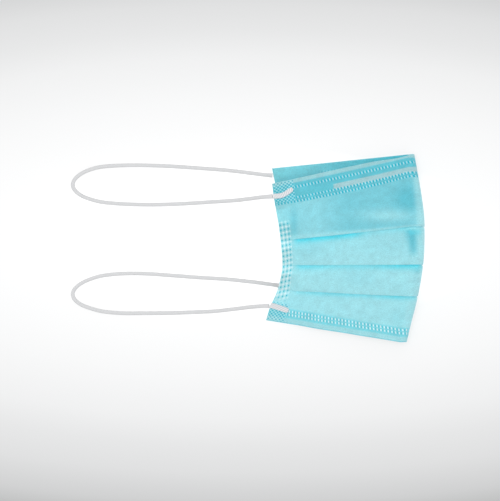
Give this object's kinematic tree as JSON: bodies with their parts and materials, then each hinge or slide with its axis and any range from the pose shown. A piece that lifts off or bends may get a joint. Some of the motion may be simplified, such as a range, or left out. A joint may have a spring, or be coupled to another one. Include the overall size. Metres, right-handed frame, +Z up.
{
  "type": "surgical face mask",
  "caption": "Pleated surgical face mask folded in half about its centre line and lying flat, with a nose strip in its top hem and round elastic head loops.",
  "frame": {"origin": "on the surface that the mask lies on, under the middle of the folded mask's bounding box, elastics left out", "axes": "+Z up from the surface; +Y towards the mask's top hem; +X towards the centre fold, so the side edges and elastics are at -X"},
  "size_m": [0.2138, 0.1132, 0.0205],
  "materials": {
    "cloth": "matte spunbond nonwoven with embossed welds",
    "strip": "matte plastic-coated wire strip",
    "elastic": "soft knitted round elastic"
  },
  "bodies": {
    "root": {"mask_body": "cloth", "nose_strip": "strip", "upper_end_near": "elastic", "upper_end_far": "elastic", "lower_end_near": "elastic", "lower_end_far": "elastic", "upper_band": "elastic", "lower_band": "elastic"}
  },
  "joints": []
}
